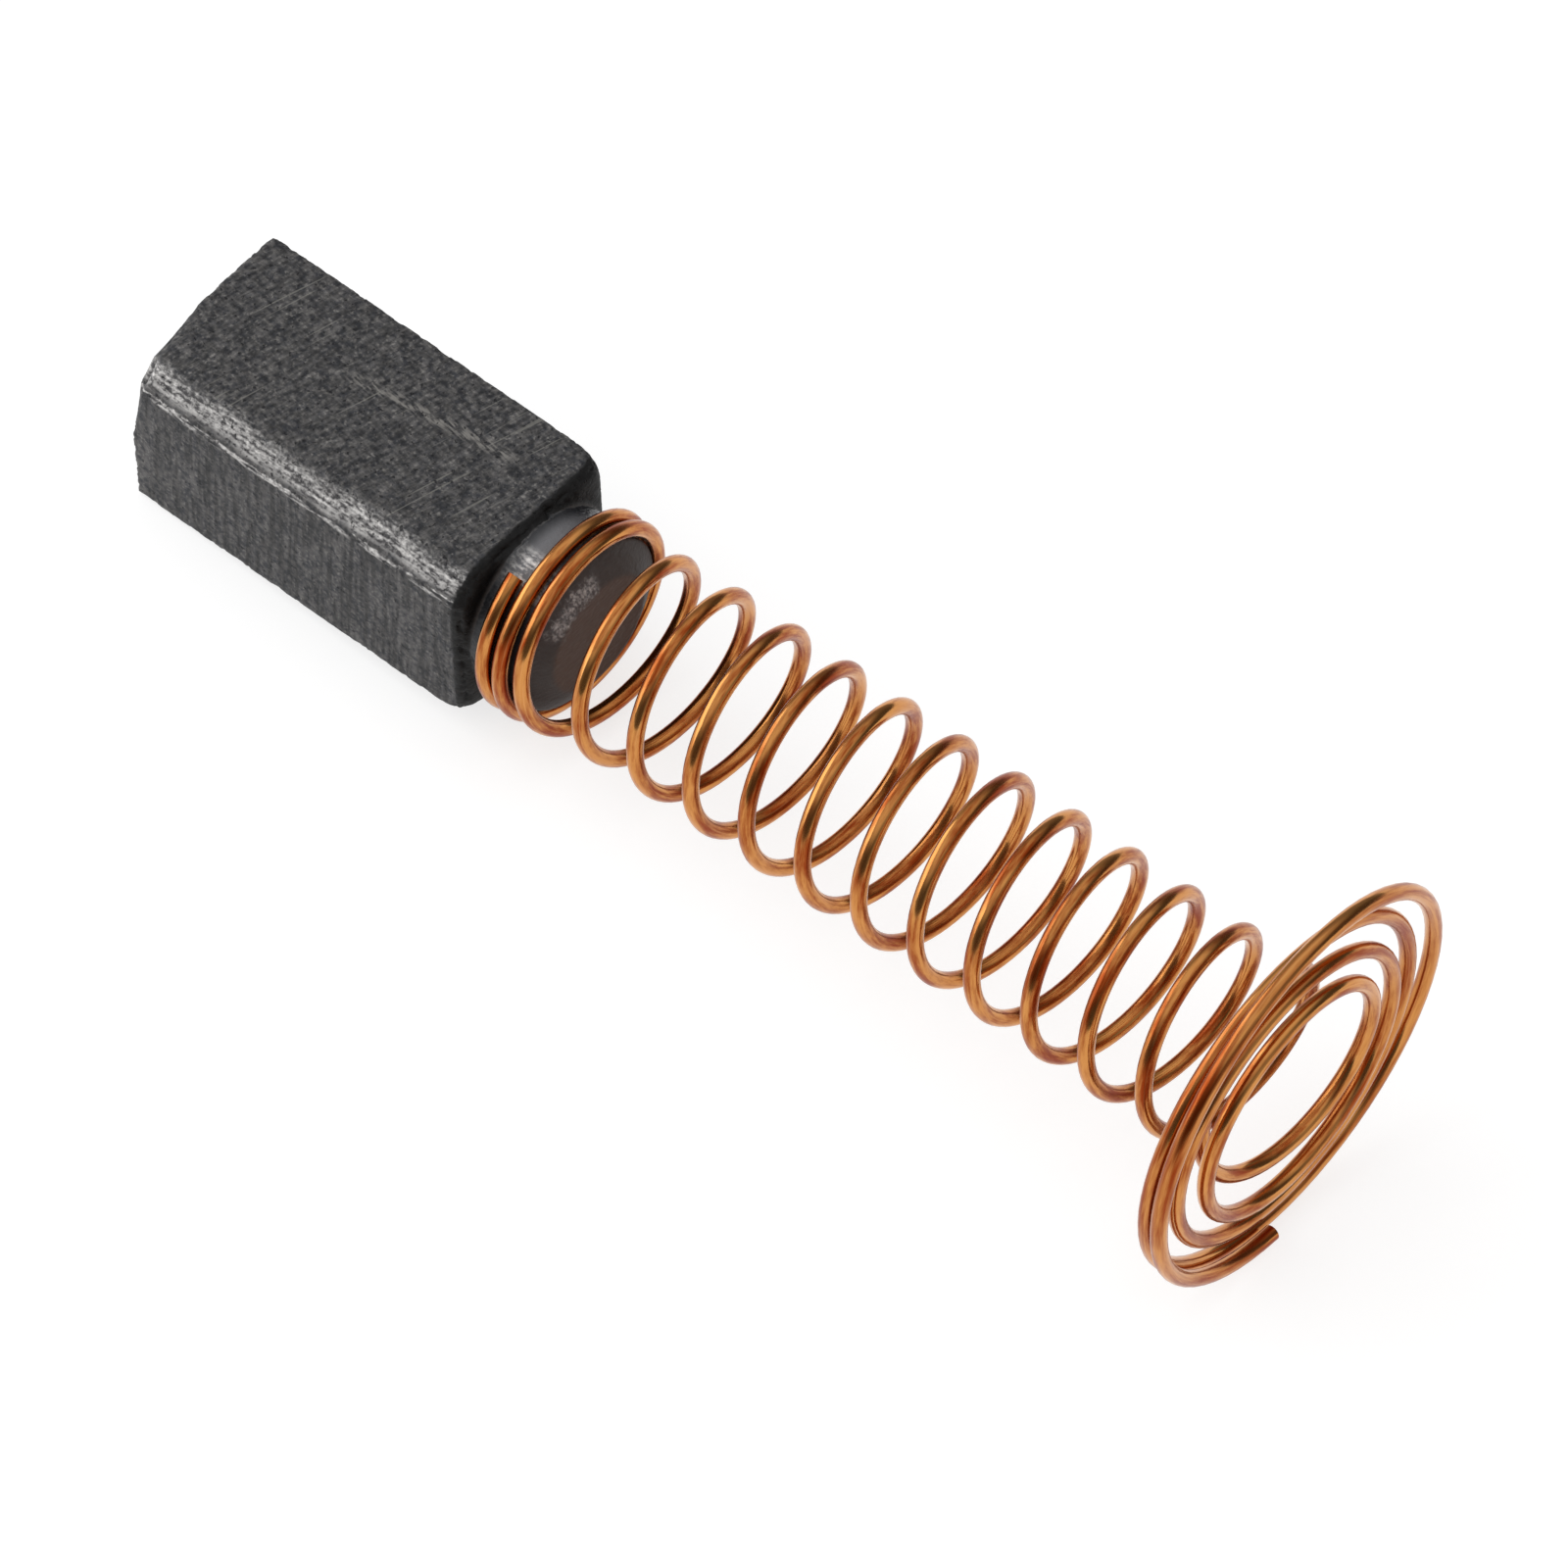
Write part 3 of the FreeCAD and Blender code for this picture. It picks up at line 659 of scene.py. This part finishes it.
def axis_rise(station):
    """Height of the spring's axis over the block's: it sags between the boss and its wide end."""
    past_boss = max(station - BOSS_END, 0.0)
    return SPRING_LIFT * eased(station, BOSS_END, LIFT_LENGTH) + SPRING_SLOPE * past_boss


def wire_point(turn):
    """A point of the wire's centre line, as the brush lies along +X from its wear face."""
    angle = START_ANGLE + 2.0 * math.pi * turn
    radius = coil_radius(turn)
    station = coil_station(turn)
    height = axis_rise(station) - radius * math.sin(angle)
    return Vector((station, -radius * math.cos(angle), height))


def wire_ring(wire, turn):
    """A ring of the wire's skin, square to its centre line. It starts on the side that faces the
    coil's axis, so that the rings never turn against each other."""
    way = (wire_point(turn + NEARBY) - wire_point(turn - NEARBY)).normalized()
    across = way.cross(Vector((1.0, 0.0, 0.0))).normalized()
    facing = Matrix((across, way.cross(across), way)).transposed().to_4x4()
    ring = bmesh.ops.create_circle(wire, cap_ends=False, segments=WIRE_SIDES, radius=WIRE_RADIUS,
                                   matrix=Matrix.Translation(wire_point(turn)) @ facing)
    return ring["verts"]


def ring_edges(ring):
    """The edges of a ring, each one once and always in the same order."""
    members = set(ring)
    return list(dict.fromkeys(e for v in ring for e in v.link_edges if e.other_vert(v) in members))


def build_spring():
    """Rings bridged into one wire with square-cut ends. Its UV map holds the turns along the wire
    and the share of the way round it."""
    wire = bmesh.new()
    uv = wire.loops.layers.uv.new("wire")
    steps = math.ceil(WIRE_TURNS * RINGS_PER_TURN)
    rings = [wire_ring(wire, WIRE_TURNS * step / steps) for step in range(steps + 1)]
    loops = [ring_edges(ring) for ring in rings]
    for first, second in zip(loops, loops[1:]):
        bmesh.ops.bridge_loops(wire, edges=first + second)
    for end in (loops[0], loops[-1]):
        bmesh.ops.edgeloop_fill(wire, edges=end)
        for edge in end:
            edge.smooth = False
    bmesh.ops.recalc_face_normals(wire, faces=wire.faces)

    place = {v: (step, side) for step, ring in enumerate(rings) for side, v in enumerate(ring)}
    for face in wire.faces:
        face.smooth = len(face.verts) == 4
        sides = [place[v][1] for v in face.verts]
        closes_ring = max(sides) - min(sides) > 1
        for loop in face.loops:
            step, side = place[loop.vert]
            if closes_ring and side == 0:
                side = WIRE_SIDES
            loop[uv].uv = (WIRE_TURNS * step / steps, side / WIRE_SIDES)
    wire.transform(AT_REST)
    return object_from("bronze_spring", wire)


# Looks of the wire. Real die lines are a few thousandths of a millimetre wide, and are drawn as
# coarse as they need to be to show.
DIE_LINES_ROUND = 26
DIE_LINES_PER_TURN = 5.0
DIE_LINE_RELIEF = 0.004      # mm
TARNISH_PER_TURN = 9.0
TARNISH_ROUND = 0.8
BRONZE = {"clean": "#CE8D4E", "tarnished": "#923C15", "die line": "#E2A871"}


def drawn_bronze():
    """Hard-drawn phosphor bronze wire with a thin brown tarnish: a bright copper-orange metal with
    sharp reflections, drawn out along the wire by the die, and duller and darker in patches."""
    material = bpy.data.materials.new("drawn_phosphor_bronze")
    material.use_nodes = True
    tree = material.node_tree
    tree.nodes.clear()

    # The way round the wire is wrapped on a circle, so that no pattern has a seam.
    on_wire = add_node(tree, "ShaderNodeUVMap", {"uv_map": "wire"})
    ways = add_node(tree, "ShaderNodeSeparateXYZ", {}, {0: on_wire})
    angle = add_node(tree, "ShaderNodeMath", {"operation": "MULTIPLY", 1: 2.0 * math.pi}, {
        0: ways.outputs["Y"]})
    cosine = add_node(tree, "ShaderNodeMath", {"operation": "COSINE"}, {0: angle})
    sine = add_node(tree, "ShaderNodeMath", {"operation": "SINE"}, {0: angle})
    wrapped = add_node(tree, "ShaderNodeCombineXYZ", {}, {
        "X": ways.outputs["X"], "Y": cosine, "Z": sine})

    lines_radius = DIE_LINES_ROUND / (2.0 * math.pi)
    lines_way = add_node(tree, "ShaderNodeMapping", {
        "Scale": (DIE_LINES_PER_TURN, lines_radius, lines_radius)}, {"Vector": wrapped})
    lines = add_node(tree, "ShaderNodeTexNoise", {"Scale": 1.0, "Detail": 2.0}, {"Vector": lines_way})
    lined = add_node(tree, "ShaderNodeMapRange", {
        "interpolation_type": "SMOOTHSTEP", "From Min": 0.55, "From Max": 0.75, "To Max": 0.3}, {
        "Value": lines})
    patches_way = add_node(tree, "ShaderNodeMapping", {
        "Scale": (TARNISH_PER_TURN, TARNISH_ROUND, TARNISH_ROUND)}, {"Vector": wrapped})
    patches = add_node(tree, "ShaderNodeTexNoise", {"Scale": 1.0, "Detail": 4.0, "Roughness": 0.65}, {
        "Vector": patches_way})
    tarnish = add_node(tree, "ShaderNodeMapRange", {
        "interpolation_type": "SMOOTHSTEP", "From Min": 0.37, "From Max": 0.67}, {"Value": patches})
    colour = add_node(tree, "ShaderNodeMix", {
        "data_type": "RGBA", "A": linear(BRONZE["clean"]), "B": linear(BRONZE["tarnished"])}, {
        "Factor": tarnish})
    colour = add_node(tree, "ShaderNodeMix", {
        "data_type": "RGBA", "B": linear(BRONZE["die line"])}, {"Factor": lined, "A": colour})
    relief = add_node(tree, "ShaderNodeBump", {
        "Strength": 0.6, "Distance": DIE_LINE_RELIEF * MM}, {
        "Height": lines})
    roughness = add_node(tree, "ShaderNodeMapRange", {"To Min": 0.15, "To Max": 0.30}, {
        "Value": tarnish})
    shader = add_node(tree, "ShaderNodeBsdfPrincipled", {"Metallic": 1.0}, {
        "Base Color": colour, "Roughness": roughness, "Normal": relief})
    add_node(tree, "ShaderNodeOutputMaterial", {}, {"Surface": shader})
    return material


bronze_spring = build_spring()
bronze_spring.data.materials.append(drawn_bronze())
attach(bronze_spring, "root")
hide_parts("contact_spring")

# Floor. A sheet of white paper, which reads white to the eye and in the metal, and keeps the
# brush's shadow.

SHEET_SIZE = 3.0             # in metres
SHEET_COLOUR = "#F4F4F4"
SHEET_GLOW_SHARE = 0.5       # what is left of the sheet takes the light and the shadow
SHEET_GLOW = 1.46


def build_floor():
    """The sheet under the brush, which glows a little for the camera and in the metal."""
    sheet = bmesh.new()
    bmesh.ops.create_grid(sheet, x_segments=1, y_segments=1, size=SHEET_SIZE / 2)
    floor = object_from("white_sheet", sheet)
    material = bpy.data.materials.new("white_paper")
    material.use_nodes = True
    tree = material.node_tree
    tree.nodes.clear()
    path = add_node(tree, "ShaderNodeLightPath", {})
    seen = add_node(tree, "ShaderNodeMath", {"operation": "ADD"}, {
        0: path.outputs["Is Camera Ray"], 1: path.outputs["Is Glossy Ray"]})
    seen = add_node(tree, "ShaderNodeMath", {"operation": "ADD", "use_clamp": True}, {
        0: seen, 1: path.outputs["Is Transmission Ray"]})
    share = add_node(tree, "ShaderNodeMath", {"operation": "MULTIPLY", 1: SHEET_GLOW_SHARE}, {
        0: seen})
    paper = add_node(tree, "ShaderNodeBsdfDiffuse", {"Color": linear(SHEET_COLOUR)})
    glow = add_node(tree, "ShaderNodeEmission", {"Strength": SHEET_GLOW})
    both = add_node(tree, "ShaderNodeMixShader", {}, {0: share, 1: paper, 2: glow})
    add_node(tree, "ShaderNodeOutputMaterial", {}, {"Surface": both})
    floor.data.materials.append(material)


build_floor()

# Studio light. A softbox low on the left, in a room with a pale ceiling, pale walls to the left
# and right, and dark ones in front and behind, which draw the dark stripes on the wire.

SOFTBOX_PLACE = Vector((-0.32, -0.155, 0.1425))        # in metres, as the next two
SOFTBOX_WIDTH = 0.48
SOFTBOX_HEIGHT = 0.28
SOFTBOX_BRIGHTNESS = 1.85    # what a mirror shows of it
DARK_WALL = 0.13             # brightness, as the next three
LEFT_WALL = 0.5
RIGHT_WALL = 0.45
PALE_CEILING = 1.1


def build_softbox():
    """A rectangular lamp that faces the brush."""
    lamp = bpy.data.lights.new("left_softbox", "AREA")
    lamp.shape = "RECTANGLE"
    lamp.size = SOFTBOX_WIDTH
    lamp.size_y = SOFTBOX_HEIGHT
    lamp.energy = SOFTBOX_BRIGHTNESS * math.pi * SOFTBOX_WIDTH * SOFTBOX_HEIGHT
    item = linked_object("left_softbox", lamp)
    facing = (-SOFTBOX_PLACE).to_track_quat("-Z", "Y").to_matrix().to_4x4()
    item.matrix_world = Matrix.Translation(SOFTBOX_PLACE) @ facing


def build_room():
    """A world whose brightness depends on the way one looks: X to the right and Z upwards."""
    world = bpy.data.worlds.new("studio")
    bpy.context.scene.world = world
    world.use_nodes = True
    tree = world.node_tree
    tree.nodes.clear()
    look = add_node(tree, "ShaderNodeTexCoord", {})
    ways = add_node(tree, "ShaderNodeSeparateXYZ", {}, {0: look.outputs["Generated"]})
    left = add_node(tree, "ShaderNodeMapRange", {
        "From Min": 0.1, "From Max": -1.0, "To Min": DARK_WALL, "To Max": LEFT_WALL}, {
        "Value": ways.outputs["X"]})
    right = add_node(tree, "ShaderNodeMapRange", {
        "interpolation_type": "SMOOTHSTEP", "From Min": 0.7, "From Max": 1.0,
        "To Max": RIGHT_WALL}, {"Value": ways.outputs["X"]})
    walls = add_node(tree, "ShaderNodeMath", {"operation": "ADD"}, {0: left, 1: right})
    ceiling = add_node(tree, "ShaderNodeMapRange", {
        "interpolation_type": "SMOOTHSTEP", "From Min": 0.38, "From Max": 0.9}, {
        "Value": ways.outputs["Z"]})
    strength = add_node(tree, "ShaderNodeMix", {"B": PALE_CEILING}, {"Factor": ceiling, "A": walls})
    background = add_node(tree, "ShaderNodeBackground", {}, {"Strength": strength})
    add_node(tree, "ShaderNodeOutputWorld", {}, {"Surface": background})


build_softbox()
build_room()

# Camera. It looks down on the brush from the front right, at the photograph's angle. Its place is
# told from the middle of the wear face, in the camera's own directions.

CAMERA_AZIMUTH = math.radians(39.616)
CAMERA_ELEVATION = math.radians(55.713)
CAMERA_ROLL = math.radians(1.927)
CAMERA_STAND = Vector((13.2255, -9.6093, 363.05)) * MM     # to its right, up and back
PIXELS_PER_MM = 44.659       # of the photograph, at the wear face
PHOTO_PIXELS = 1600
CLIP_START = 10.0 * MM


def build_camera():
    """The camera on its stand, with the photograph's field of view."""
    aim = (Matrix.Rotation(CAMERA_AZIMUTH, 4, "Z")
           @ Matrix.Rotation(math.pi / 2 - CAMERA_ELEVATION, 4, "X")
           @ Matrix.Rotation(CAMERA_ROLL, 4, "Z"))
    lens = bpy.data.cameras.new("camera")
    lens.angle = 2.0 * math.atan(PHOTO_PIXELS / 2 / PIXELS_PER_MM * MM / CAMERA_STAND.z)
    lens.clip_start = CLIP_START
    camera = linked_object("camera", lens)
    wear_face = Matrix.Translation(AT_REST.to_translation())
    camera.matrix_world = wear_face @ aim @ Matrix.Translation(CAMERA_STAND)
    bpy.context.scene.camera = camera


build_camera()
bpy.context.scene.view_settings.view_transform = "Standard"
